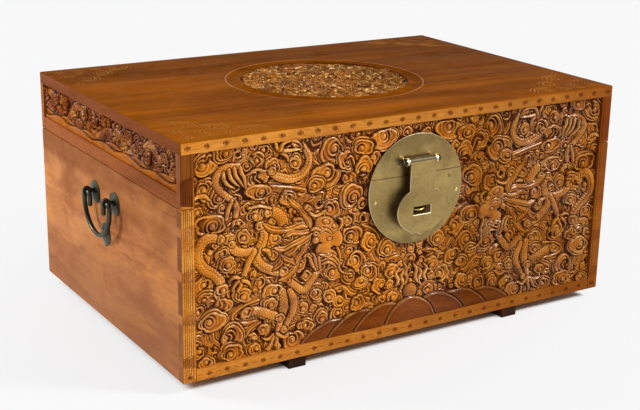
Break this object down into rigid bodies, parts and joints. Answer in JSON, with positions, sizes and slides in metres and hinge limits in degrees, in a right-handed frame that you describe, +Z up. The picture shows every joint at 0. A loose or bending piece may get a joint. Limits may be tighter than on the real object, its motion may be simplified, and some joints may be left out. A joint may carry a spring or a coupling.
{
  "type": "camphor wood trunk",
  "caption": "Carved wooden storage trunk with a hinged lid, a round lock plate with a hasp, and a swinging bail handle on each side.",
  "frame": {"origin": "centre of the object's box in plan, on the floor under the runners", "axes": "+X to the right along the width, front faces -Y, +Z up"},
  "size_m": [0.9606, 0.6524, 0.429],
  "materials": {
    "carved_camphor": "deep relief carving, oiled golden brown with dark recesses",
    "side_camphor": "satin salmon brown with small marks",
    "floor_camphor": "unfinished planed wood",
    "dark_runner_wood": "dark stained wood",
    "aged_brass": "aged olive brown, mottled, worn lighter at the rim",
    "bright_brass": "rubbed bright",
    "blackened_bronze": "blackened, worn glossy with a green cast",
    "dull_brass": "dull brass",
    "lid_camphor": "oiled golden brown",
    "top_camphor": "oiled honey to red brown, fine grain along the width"
  },
  "bodies": {
    "base": {"base_front_board": "carved_camphor", "base_back_board": "side_camphor", "base_left_board": "side_camphor", "base_right_board": "side_camphor", "bottom_plank_front": "floor_camphor", "bottom_plank_middle": "floor_camphor", "bottom_plank_rear": "floor_camphor", "left_runner": "dark_runner_wood", "right_runner": "dark_runner_wood", "lock_plate_lower": "aged_brass", "lock_plate_nails_lower": "bright_brass", "hasp_staple": "bright_brass", "left_front_rose": "blackened_bronze", "left_rear_rose": "blackened_bronze", "left_front_eye": "blackened_bronze", "left_rear_eye": "blackened_bronze", "left_strike_plate": "blackened_bronze", "left_rear_hinge_base_leaf": "dull_brass", "left_rear_hinge_pin": "dull_brass", "right_front_rose": "blackened_bronze", "right_rear_rose": "blackened_bronze", "right_front_eye": "blackened_bronze", "right_rear_eye": "blackened_bronze", "right_strike_plate": "blackened_bronze", "right_rear_hinge_base_leaf": "dull_brass", "right_rear_hinge_pin": "dull_brass", "rear_hinge_screws_base": "dull_brass"},
    "lid": {"lid_front_board": "carved_camphor", "lid_back_board": "lid_camphor", "lid_left_board": "lid_camphor", "lid_right_board": "lid_camphor", "top_plank_front": "top_camphor", "top_plank_middle": "top_camphor", "top_plank_rear": "top_camphor", "lock_plate_upper": "aged_brass", "lock_plate_nails_upper": "aged_brass", "hasp_lugs": "aged_brass", "hasp_pin": "aged_brass", "left_rear_hinge_lid_leaf": "dull_brass", "right_rear_hinge_lid_leaf": "dull_brass", "rear_hinge_screws_lid": "dull_brass"},
    "hasp": {"hasp": "aged_brass"},
    "left_bail": {"left_bail": "blackened_bronze"},
    "right_bail": {"right_bail": "blackened_bronze"}
  },
  "joints": [
    {"name": "lid_hinge", "type": "hinge", "parent": "base", "child": "lid", "pos_m": [0, 0.31603, 0.3185], "axis": [-1, 0, 0], "range_deg": [0, 100]},
    {"name": "hasp_hinge", "type": "hinge", "parent": "lid", "child": "hasp", "pos_m": [0, -0.31662, 0.345], "axis": [-1, 0, 0], "range_deg": [-7, 170]},
    {"name": "left_bail_swing", "type": "hinge", "parent": "base", "child": "left_bail", "pos_m": [-0.4715, 0.00373, 0.2617], "axis": [0, 1, 0], "range_deg": [-4.5, 180]},
    {"name": "right_bail_swing", "type": "hinge", "parent": "base", "child": "right_bail", "pos_m": [0.4715, 0.00373, 0.2617], "axis": [0, -1, 0], "range_deg": [-4.5, 180]}
  ]
}
